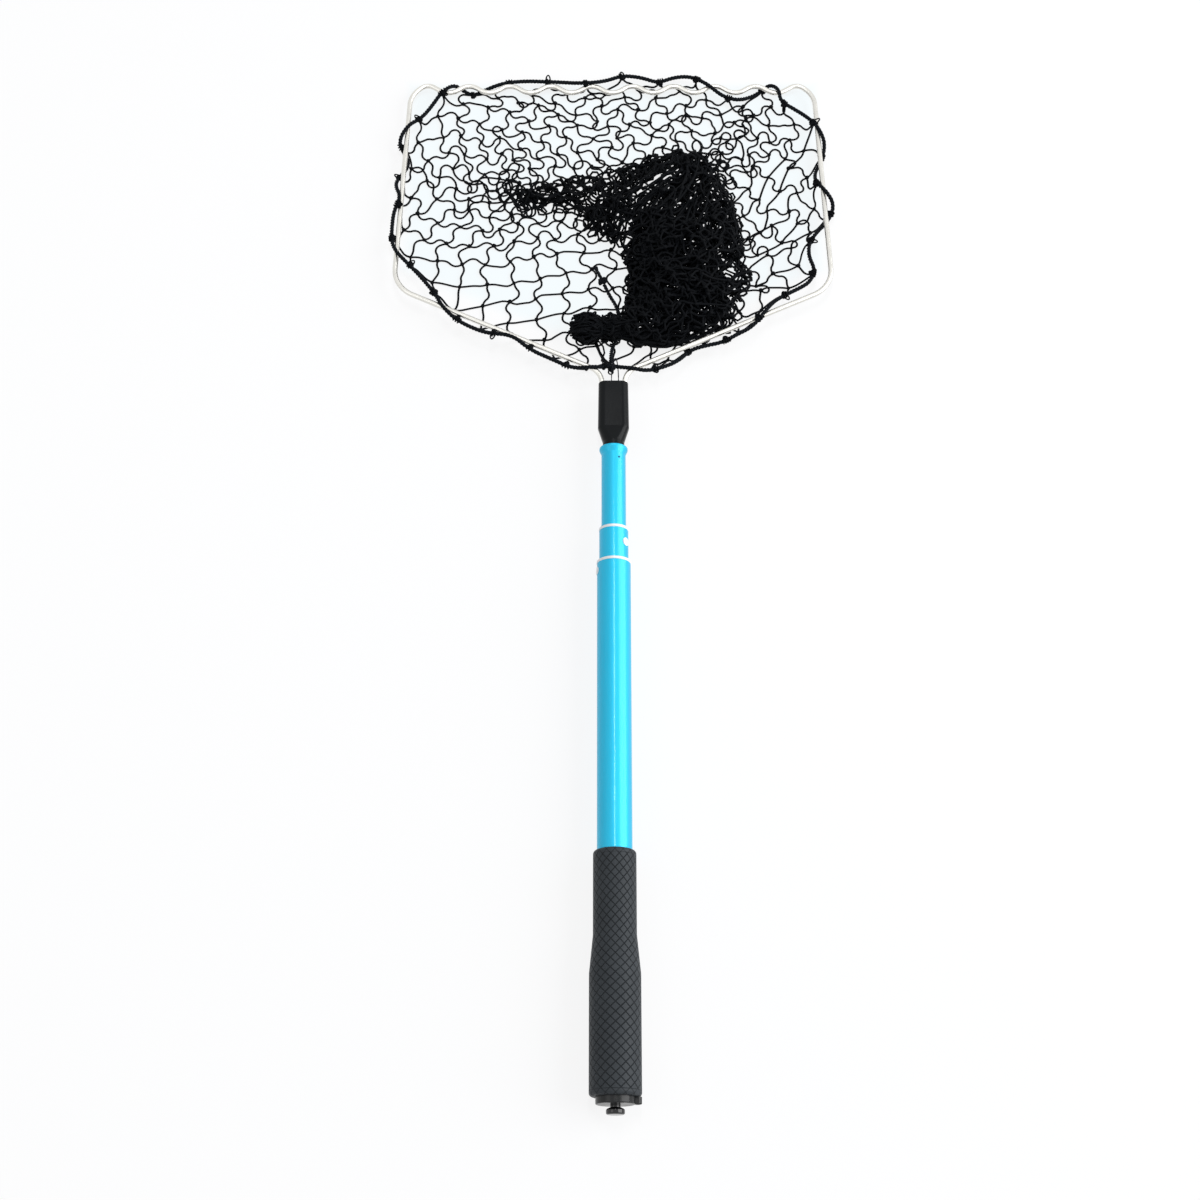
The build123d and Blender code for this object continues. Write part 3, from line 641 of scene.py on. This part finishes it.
# The first row hangs under the rope, and the last is a ring where the bag is tied
under_rope = 0.0015
first = knot[0]
places[first] = start[first] - (0, 0, under_rope)
pinned[first] = True
last = knot[rows]
turn = tau * np.arange(columns) / columns
end_x, end_y, end_z, end_r = -0.003, 0.178, 0.0125, 0.006
places[last] = np.column_stack([
    np.full(columns, end_x), end_y + end_r * np.cos(turn), end_z + end_r * np.sin(turn)
])
pinned[last] = True
gap = places[bottoms] - places[tops]
slack = np.maximum(bar - np.linalg.norm(gap, axis=1), 0)
across_bar = np.column_stack([-gap[:, 1], gap[:, 0]])
across_bar /= np.linalg.norm(across_bar, axis=1, keepdims=True) + 1e-9
twist = np.tanh(1.5 * waves(6, 7, 9)) * chance.uniform(0.6, 1.1, knot.size)
for step in range(1, links):
    along_bar = step / links
    curl = twist[tops] * (1 - along_bar) - twist[bottoms] * along_bar
    curl *= 0.75 * np.sqrt(slack * bar) * sin(pi * along_bar)
    places[beads[:, step], :] = places[tops] + gap * along_bar
    places[beads[:, step], :2] += across_bar * curl[:, None]
    places[beads[:, step], 2] += 0.0002 * chance.normal(0, 1, bars)
print("a bar has", round(1000 * slack.mean(), 1), "mm of slack on average")

# %% Letting the twine settle
heaped = np.zeros(len(places))
heaped[: knot.size] = blend[:, 0]
for step in range(1, links):
    heaped[beads[:, step]] = (heaped[tops] + heaped[bottoms]) / 2
target = places.copy()
half = bars // 2
left, right = beads[:half], beads[half:]

# Pairs of neighbours on a bar, next neighbours, and neighbours round and through a knot. No point is twice in
# a set, so that all its pairs can move at once
chains = [
    (beads[:, 2], beads[:, 3]),
    (left[:, 0], left[:, 1]), (right[:, 0], right[:, 1]),
    (left[:, 4], left[:, 5]), (right[:, 4], right[:, 5]),
    (np.concatenate([beads[:, 1], beads[:, 3]]), np.concatenate([beads[:, 2], beads[:, 4]])),
]
curls = [
    (left[:, 0], left[:, 2]), (right[:, 0], right[:, 2]),
    (left[:, 3], left[:, 5]), (right[:, 3], right[:, 5]),
    (np.concatenate([beads[:, 1], beads[:, 2]]), np.concatenate([beads[:, 3], beads[:, 4]])),
]
arms = np.full((knot.size, 4), -1)
arms[left[:, 0], 0], arms[right[:, 0], 1] = left[:, 1], right[:, 1]
arms[left[:, 5], 2], arms[right[:, 5], 3] = left[:, 4], right[:, 4]
arms = arms[(arms >= 0).all(axis=1)]
corners = [(arms[:, a], arms[:, b]) for a, b in ((0, 1), (2, 3), (0, 2), (1, 3))]
throughs = [(arms[:, 0], arms[:, 3]), (arms[:, 1], arms[:, 2])]
# How near these may come to each other, and how firmly they part: this is what makes the twine stiff
stiffness = [(throughs, 1.6 * link, 0.2), (corners, 1.05 * link, 0.25), (curls, 1.86 * link, 0.45)]
freedom = np.where(pinned, 0.0, 1.0)

# Each mesh has a knot at its top, left, right and bottom, and its opposite bars keep apart
least_wide, least_tall, least_between = 0.011, 0.0095, 0.0095
top_row = np.arange(rows - 1)[:, None]
go_left, go_right = column_below(top_row, 0), column_below(top_row, 1)
top_left = top_row * columns + np.arange(columns)
top_right = half + top_left
bottom_left = half + (top_row + 1) * columns + go_left
bottom_right = (top_row + 1) * columns + go_right
opposite = [(beads[top_left.ravel(), k], beads[bottom_right.ravel(), k + 1]) for k in (1, 2, 3)]
opposite += [(beads[top_right.ravel(), k], beads[bottom_left.ravel(), k + 1]) for k in (1, 2, 3)]
mesh_wide = knot[top_row + 1, go_left].ravel(), knot[top_row + 1, go_right].ravel()
mesh_tall = knot[:-2].ravel(), knot[2:].ravel()
apart = [(*pairs, least_between) for pairs in opposite]
apart += [(*mesh_wide, least_wide), (*mesh_tall, least_tall)]
print(len(apart[0][0]), "meshes")


def pull(pairs, distance, strength, only_short=False):
    """Move the two ends of each pair so that they come nearer to their distance."""
    a, b = pairs
    between = places[b] - places[a]
    now = np.linalg.norm(between, axis=1) + 1e-9
    wrong = now - distance
    if only_short:
        wrong = np.minimum(wrong, 0)
    total = np.maximum(freedom[a] + freedom[b], 1e-9)
    move = between * (strength * wrong / now / total)[:, None]
    places[a] += move * freedom[a][:, None]
    places[b] -= move * freedom[b][:, None]


# The first rows stay inside the rope
clear_of_rope = 0.001
fence_line = rope_line[::4]
fence = fence_line[:, :2]
fence_way = np.gradient(fence, axis=0)
fence_in = np.column_stack([fence_way[:, 1], -fence_way[:, 0]])
fence_in /= np.linalg.norm(fence_in, axis=1, keepdims=True)
by_rope = np.unique(beads[level[tops] < 3][:, 1:])

rounds, passes = 140, 6
top_speed, speed_kept = 0.002, 0.7
fall, hold = 0.00012, 0.12
was = places.copy()
for _ in range(rounds):
    speed = np.clip(places - was, -top_speed, top_speed)
    was = places.copy()
    places += speed_kept * speed * freedom[:, None]
    places[:, 2] -= fall * (1 - heaped) * freedom
    places += hold * (target - places) * (heaped * freedom)[:, None]
    for _ in range(passes):
        for a, b, distance in apart:
            pull((a, b), distance, 0.25 * (1 - heaped[a]), only_short=True)
        for sets, least, firmness in stiffness:
            for pairs in sets:
                pull(pairs, least, firmness, only_short=True)
        for pairs in chains:
            pull(pairs, link, 0.9)
    beside = np.linalg.norm(places[by_rope, None, :2] - fence[None], axis=2).argmin(axis=1)
    lower = np.maximum(fence_line[beside, 2] - places[by_rope, 2], 0)
    within = ((places[by_rope, :2] - fence[beside]) * fence_in[beside]).sum(axis=1)
    out_by = clear_of_rope + 0.4 * lower - within
    places[by_rope, :2] += fence_in[beside] * np.clip(out_by, 0, 0.004)[:, None]
    places[:, 2] = np.maximum(places[:, 2], twine_r)
stretch = np.linalg.norm(places[beads[:, 1]] - places[beads[:, 2]], axis=1) / link
print("links are", round(stretch.min(), 2), "to", round(stretch.max(), 2), "of their length")

# %% Twine of the net
open_bars = (heaped[tops] + heaped[bottoms]) / 2 < 0.3
lines = places[beads]
netting = thread("open_netting", lines[open_bars], 1.8 * twine_r, smooth=True)
# Loose folds of twine fill out the middle of the heap
heap_lines = list(lines[~open_bars])
loose_folds = 260
core, core_size = np.array([0.056, 0.207, 0.004]), np.array([0.042, 0.03, 0.013])
for _ in range(loose_folds):
    turn = chance.random() * tau
    out = np.sqrt(chance.random())
    middle = core + core_size * (out * cos(turn), out * sin(turn), chance.random())
    sweep = np.linspace(0, 2 + 2.5 * chance.random(), 6)[:, None]
    first_way, second_way = np.linalg.qr(chance.normal(size=(3, 3)) * (1, 1, 0.5))[0][:2]
    fold_r = 0.004 + 0.004 * chance.random()
    folded = middle + fold_r * (np.cos(sweep) * first_way + np.sin(sweep) * second_way)
    heap_lines.append(resting(folded, twine_r))
heap = thread("heaped_netting", heap_lines, 2 * twine_r, smooth=True, resolution=1)
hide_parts("net_spread", "net_rim")
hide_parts("net_heap")
for piece in (netting, heap):
    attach(piece, "head")

# %% Knots of the net
bpy.ops.object.select_all(action="DESELECT")
bpy.ops.mesh.primitive_ico_sphere_add(subdivisions=2, radius=0.0016, location=(0, 0, 0))
lump = bpy.context.object
for vertex in lump.data.vertices:
    vertex.co *= 1 + 0.25 * noise.noise(vertex.co * 900)
    vertex.co.z *= 0.8
bpy.ops.object.shade_smooth()
corners_of_lump = np.array([vertex.co for vertex in lump.data.vertices])
faces_of_lump = np.array([face.vertices for face in lump.data.polygons])
bpy.data.objects.remove(lump)


def copies(name, spots, turns, sizes):
    """One mesh with the lump at every spot, each of its own size and turned about the upright."""
    cosine, sine = np.cos(turns), np.sin(turns)
    x = cosine[:, None] * corners_of_lump[:, 0] - sine[:, None] * corners_of_lump[:, 1]
    y = sine[:, None] * corners_of_lump[:, 0] + cosine[:, None] * corners_of_lump[:, 1]
    z = np.broadcast_to(corners_of_lump[:, 2], x.shape)
    where = np.stack([x, y, z], axis=2) * sizes[:, None, None]
    lift = np.maximum(spots[:, 2], 0.0002 - where[:, :, 2].min(axis=1)) - spots[:, 2]
    where += spots[:, None, :]
    where[:, :, 2] += lift[:, None]
    faces = faces_of_lump[None] + len(corners_of_lump) * np.arange(len(spots))[:, None, None]
    mesh = bpy.data.meshes.new(name)
    mesh.from_pydata(where.reshape(-1, 3).tolist(), [], faces.reshape(-1, 3).tolist())
    mesh.shade_smooth()
    piece = bpy.data.objects.new(name, mesh)
    bpy.context.collection.objects.link(piece)
    print(name, len(spots), "knots")
    return piece


tied = places[knot[1:rows].ravel()]
knot_turns = chance.random(len(tied)) * tau
knots = copies("net_knots", tied, knot_turns, 0.9 + 0.3 * chance.random(len(tied)))

# %% [markdown]
# ## Tied to the rope
# Each mesh of the first row is lashed to the rope by hand: a few turns of twine, a knot that lies on the
# inner side, and often a small loop that wasn't pulled tight. Chance makes each lashing a little different.

# %% Lashings of the netting to the rope
lashing_r = 0.0006
hoop_middle = np.array([0, 0.28, 0.01])
lashing_lines = []
lump_spots = []
for number, place in enumerate(share[0]):
    half_length = 0.0016 + 0.0012 * chance.random()
    at_rope = on_rope(place + np.linspace(-half_length, half_length, 30))
    middle = at_rope[15]
    ahead, side, _ = directions(at_rope)
    inward = -side[15] if side[15] @ (hoop_middle - middle) < 0 else side[15]
    pitch = 0.0017 + 0.0006 * chance.random()
    turns = wound(at_rope, visible_d / 2 + 0.0004, pitch, chance.random() * tau)
    # The first lashing begins before the rope does, and has no direction there
    turns = turns[ahead.any(axis=1)]
    lashing_lines.append(resting(turns, lashing_r))
    lump_spots.append(middle + 0.0018 * inward)
    if number % 3 != 1:
        # A small loop that wasn't pulled tight stands out on one side
        outward = -inward if number % 2 else inward
        loop_length = 0.0032 + 0.003 * chance.random()
        sweep = np.linspace(0, pi, 10)
        along_rope = at_rope[18] - middle
        along_rope /= np.linalg.norm(along_rope)
        loop = middle + np.outer(np.sin(sweep), outward) * loop_length
        loop += np.outer(np.cos(sweep), along_rope) * 0.0019
        loop[:, 2] += 0.0014 * np.sin(sweep)
        lashing_lines.append(resting(loop, lashing_r))
# One ring of twine lies between the knot and the neck
sweep = np.linspace(0, tau, 20)
ring = np.column_stack([0.0018 * np.sin(sweep), -0.0062 + 0.0019 * np.cos(sweep), np.full(20, 0.003)])
lashing_lines.append(throat_middle + ring)
lashings = thread("rope_lashings", lashing_lines, 2 * lashing_r)
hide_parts("net_ties")
lump_spots = np.array(lump_spots)
lump_turns = chance.random(len(lump_spots)) * tau
lashing_knots = copies("lashing_knots", lump_spots, lump_turns, np.full(len(lump_spots), 1.35))
for piece in (knots, lashings, lashing_knots):
    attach(piece, "head")

# %% [markdown]
# ## The gathered end of the bag
# The bag's last row is gathered into a tuft and whipped with twine. Its bars leave the whipping in every
# direction, fold back and end in cut tips, so the tuft is a ball of loose strands, longer on its free side.

# %% The gathered end of the bag
strand_count, curl_count, hanging_count = 120, 120, 4
golden_share = 0.618
tuft_y, tuft_z = 178.0, 12.6
waist_x, waist_r, waist_station = -9.5, 6.4, 3
lowest, highest = (-34, 100, 1.1), (99, 400, 26)
loose = np.tile([1.4, 1.2, 1.2], (8, 1))
loose[waist_station, 1:] = 0.5
bundle_lines = []
for strand in range(strand_count):
    turn = tau * strand * golden_share
    out = np.sqrt((strand + 0.5) / strand_count)
    swirl = chance.normal(0, 0.5)
    longer = 1.2 * abs(chance.normal())
    x, r = np.array([
        (5, 7 * out), (0, 10 * out), (-6, 8.5 * out), (waist_x, waist_r * out), (-13, 11 * out),
        (-19.5, 13.5 * out), (-26, 11.5 * out), (-30 - longer, 5 * out + 2 * longer),
    ]).T
    turns = turn + swirl * (np.arange(len(x)) / 3 - 1)
    line = np.column_stack([x, tuft_y + r * np.cos(turns), tuft_z + r * np.sin(turns)])
    line += loose * chance.normal(size=line.shape)
    bundle_lines.append(millimetres(np.clip(line, lowest, highest)))
for curl in range(curl_count):
    lean = chance.normal(size=3)
    lean /= np.linalg.norm(lean)
    ball = np.array([-20.5 if curl % 4 else -2, tuft_y, tuft_z])
    middle = ball + lean * (9, 12.5, 10.5) * (0.8 + 0.25 * chance.random())
    first_way, second_way = np.linalg.qr(chance.normal(size=(3, 3)))[0][:2]
    sweep = np.linspace(0, 2.5 + 3 * chance.random(), 10)[:, None]
    curl_r = 1.8 + 2.6 * chance.random()
    curled = middle + curl_r * (np.cos(sweep) * first_way + np.sin(sweep) * second_way)
    bundle_lines.append(millimetres(np.clip(curled, lowest, highest)))
to_throat = [(-13, 170, 6), (-10.5, 163, 3.5), (-9, 157, 5), (-6, 150, 11), (-2.5, 143.5, 17.5)]
for _ in range(hanging_count):
    sway = 2 * chance.normal(size=(5, 3)) * [[0.6], [1], [1], [0.6], [0.2]]
    bundle_lines.append(millimetres(np.maximum(sway + to_throat, (-99, 0, 1.1))))
bundle = thread("gathered_end", bundle_lines, 1.7 * twine_r, smooth=True)
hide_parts("bag_end")

whipping_turns, whipping_width, whipping_d = 5, 2.4, 0.0013
whipping_r = waist_r + 1.4
part = np.linspace(0, 1, 120)
turn = whipping_turns * tau * part
whipping_line = millimetres(np.column_stack([
    waist_x + whipping_width * (part - 0.5),
    tuft_y + whipping_r * np.cos(turn),
    tuft_z + whipping_r * np.sin(turn),
]))
ends = [
    millimetres([(-9.5, 176, 20), (-12.5, 173, 22), (-16.5, 170, 21), (-18.5, 167.5, 18)]),
    millimetres([(-9.5, 176, 20), (-8.5, 172, 20.5), (-10.5, 168.5, 16), (-12.5, 166, 11)]),
]
whipping = thread("bundle_whipping", [whipping_line] + ends, whipping_d)
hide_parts("bag_end_tie")
for piece in (bundle, whipping):
    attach(piece, "head")

# %% [markdown]
# ## Finishes of the rigid pieces
# The tubes are drawn aluminium, anodised blue: the colour sits in a clear hard skin over metal, so it is a
# tinted metal with a little gloss on top. Drawing leaves faint lines along the tube, and they are noise
# that is stretched along its length.

# %% Anodised tubes
def stretched(finish, where, along, across):
    """Places for a texture that is drawn out along the pole."""
    return finish.node("VectorMath", {"operation": "MULTIPLY"}, {0: where, 1: (across, along, across)})


anodised = Finish("blue_anodised", {"Coat Weight": 0.35, "Coat Roughness": 0.08, "Metallic": 0.55})
where, _ = anodised.place()
lines_along = anodised.grain(stretched(anodised, where, 18, 1500), 1.0, 3.0)
cloud = anodised.grain(where, 40, 3.0)
uneven = lines_along * 0.6 + cloud * 0.4
anodised.feed("Base Color", anodised.tint(uneven, (0.001, 0.42, 0.65), (0.003, 0.48, 0.73)))
anodised.feed("Roughness", uneven.ramp(0.3, 0.7, 0.45, 0.55))
anodised.emboss(lines_along, 0.00002)
anodised.cover(nodes["main_tube"], nodes["middle_tube"], nodes["inner_tube"])

# %% [markdown]
# ## Moulded plastics
# The rings, the neck, the cap, the knob and the lock pieces come out of moulds. A mould leaves a fine even
# grain, and the plastic's flow leaves a faint unevenness of colour and gloss. One function makes each of
# these finishes from its colour, its gloss and the depth of its grain.

# %% Moulded plastics
def moulded(name, colour, roughness, grain_depth, specular=0.5):
    """A plastic of one colour, a little darker and lighter in places."""
    plastic = Finish(name, {"Specular IOR Level": specular})
    where, _ = plastic.place()
    flow = plastic.grain(stretched(plastic, where, 30, 90), 1.0, 3.0)
    fine = plastic.grain(where, 1400, 2.0)
    uneven = flow * 0.75 + fine * 0.25
    darker, lighter = [0.88 * c for c in colour], [min(1.12 * c, 0.95) for c in colour]
    plastic.feed("Base Color", plastic.tint(uneven, darker, lighter))
    plastic.feed("Roughness", uneven.ramp(0.3, 0.7, roughness - 0.05, roughness + 0.06))
    plastic.emboss(fine, grain_depth)
    return plastic


def in_locks(*kinds):
    """The pieces of these kinds in both locks."""
    return [nodes[tube + kind] for tube in ("inner_", "middle_") for kind in kinds]


fine_grain = 0.00002
white = moulded("white_plastic", (0.86, 0.87, 0.88), 0.38, fine_grain)
white.cover(nodes["main_bushing"], nodes["middle_bushing"])
moulded("neck_plastic", (0.004, 0.005, 0.006), 0.24, fine_grain, specular=0.12).cover(nodes["neck_socket"])
moulded("black_plastic", (0.006, 0.007, 0.008), 0.28, fine_grain, specular=0.3).cover(nodes["end_cap"])
moulded("gloss_black_plastic", (0.004, 0.004, 0.005), 0.14, 0.000005).cover(nodes["hang_knob"])
moulded("lock_plastic", (0.7, 0.69, 0.64), 0.45, fine_grain).cover(*in_locks("plug", "expander"))
moulded("cone_plastic", (0.03, 0.032, 0.035), 0.42, fine_grain).cover(*in_locks("cone"))

# %% [markdown]
# ## The grip
# The sleeve is soft rubber with small raised diamonds all over it. Their grooves are two sets of lines that
# climb round the sleeve in opposite directions: on each line, the angle round the sleeve and the distance
# along it add up to a whole number of steps. The rims at both ends are left smooth.

# %% Grip rubber
diamonds_round = 16
diamond_length = 0.0066
rubber = Finish("grip_rubber", {"Specular IOR Level": 0.15})
where, (x, y, z) = rubber.place()
angle = x.maths("ARCTAN2", x, z - axis_z)
round_steps = angle * (diamonds_round / 2)
along_steps = y * (pi / diamond_length)
climbing = (round_steps + along_steps).sine().size()
falling = (round_steps - along_steps).sine().size()
diamonds = climbing.smallest(falling).ramp(0.02, 0.34)
grip_low, grip_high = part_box("grip")
from_ends = (y - grip_low[1]).smallest(grip_high[1] - y)
on_field = from_ends.ramp(0.0035, 0.0042)
height = diamonds * on_field
fine = rubber.grain(where, 1500, 2.0)
cloud = rubber.grain(where, 60, 3.0)
# The grooves between the diamonds are painted darker, as painted shade, and cloudy and fine grain vary the
# rubber's tone
worn = diamonds * 0.55 + cloud * 0.3 + fine * 0.15
rubber.feed("Base Color", rubber.tint(worn, (0.004, 0.0052, 0.0065), (0.044, 0.051, 0.058)))
rubber.feed("Roughness", worn.ramp(0.2, 0.8, 0.66, 0.5))
rubber.emboss(height + fine * 0.05, 0.0006)
rubber.cover(nodes["grip"])

# %% [markdown]
# ## Metal pieces
# The hoop is drawn stainless wire, with fine scratches and a slightly warm grey. The lock's studs and stops
# are steel with a thin zinc coat, which is duller and cloudier. The pin in the collar is steel, painted dark
# blue as the painted shade of its dimple.

# %% Metals
def metal(name, dark, light, roughness, scale):
    """A bare metal with fine scratches, so many to the metre, and a cloudy gloss."""
    made = Finish(name, {"Metallic": 1.0})
    where, _ = made.place()
    scratches = made.grain(where, scale, 4.0, 0.7)
    cloud = made.grain(where, 70, 2.0)
    uneven = scratches * 0.5 + cloud * 0.5
    made.feed("Base Color", made.tint(uneven, dark, light))
    made.feed("Roughness", uneven.ramp(0.3, 0.7, roughness - 0.06, roughness + 0.08))
    made.emboss(scratches, 0.000004)
    return made


metal("stainless_wire", (0.66, 0.65, 0.61), (0.78, 0.77, 0.73), 0.3, 900).cover(nodes["hoop_wire"])
metal("zinc_steel", (0.45, 0.46, 0.47), (0.66, 0.66, 0.64), 0.4, 500).cover(*in_locks("stud", "stop"))
# Painted shade: the pin is coloured dark blue for the shade of the small dimple it sits in
metal("dimple_shade_pin", (0.01, 0.05, 0.08), (0.02, 0.09, 0.14), 0.4, 500).cover(nodes["neck_rivet"])

# %% [markdown]
# ## Twine and rope
# Both are black polyester. Its plies climb round each strand, so the finish draws slanted lines from the
# strand's own map: once round and so many times along it. Their crests carry a painted sheen, mixed with
# loose fibres and fading.

# %% Twine and rope finishes
fibre_gloss = {"Specular IOR Level": 0.06}


def yarn(name, plies, turns, dark, light):
    """Twisted plies on every thread of a piece, by the thread's own map."""
    made = Finish(name, fibre_gloss)
    _, (around, along, _) = made.place("UV")
    ply = ((around * plies + along * turns) * pi).sine().size()
    where, _ = made.place()
    fibre = made.grain(where, 2600, 2.0)
    worn = made.grain(where, 90, 2.0)
    amount = ply * 0.5 + fibre * 0.3 + worn * 0.2
    # The crests of the plies are painted lighter, a painted sheen, mixed with the tone of loose fibres and
    # fading
    made.feed("Base Color", made.tint(amount, dark, light))
    made.feed("Roughness", amount.ramp(0.2, 0.8, 0.72, 0.54))
    made.emboss(ply * 0.7 + fibre * 0.3, 0.00012)
    return made


deep_black, fade_and_sheen_black = (0.0003, 0.0004, 0.0005), (0.0045, 0.0055, 0.0075)
rope_sheen_and_fade_grey = (0.014, 0.017, 0.022)
yarn("black_twine", 2, 16, deep_black, fade_and_sheen_black).cover(netting, heap, bundle)
yarn("black_rope", 3, 900, deep_black, rope_sheen_and_fade_grey).cover(rope)
yarn("black_rope_short", 3, 48, deep_black, rope_sheen_and_fade_grey).cover(tail, throat, stopper)
yarn("black_lashing", 2, 14, deep_black, fade_and_sheen_black).cover(lashings, whipping)
yarn("dark_cord", 2, 40, (0.006, 0.006, 0.009), (0.02, 0.021, 0.028)).cover(neck_cord)

knot_twine = Finish("black_knots", fibre_gloss)
where, _ = knot_twine.place()
winding = knot_twine.grain(where, 1500, 3.0)
knot_twine.feed("Base Color", knot_twine.tint(winding, deep_black, fade_and_sheen_black))
knot_twine.feed("Roughness", winding.ramp(0.3, 0.7, 0.72, 0.55))
knot_twine.emboss(winding, 0.0003)
knot_twine.cover(knots, lashing_knots)
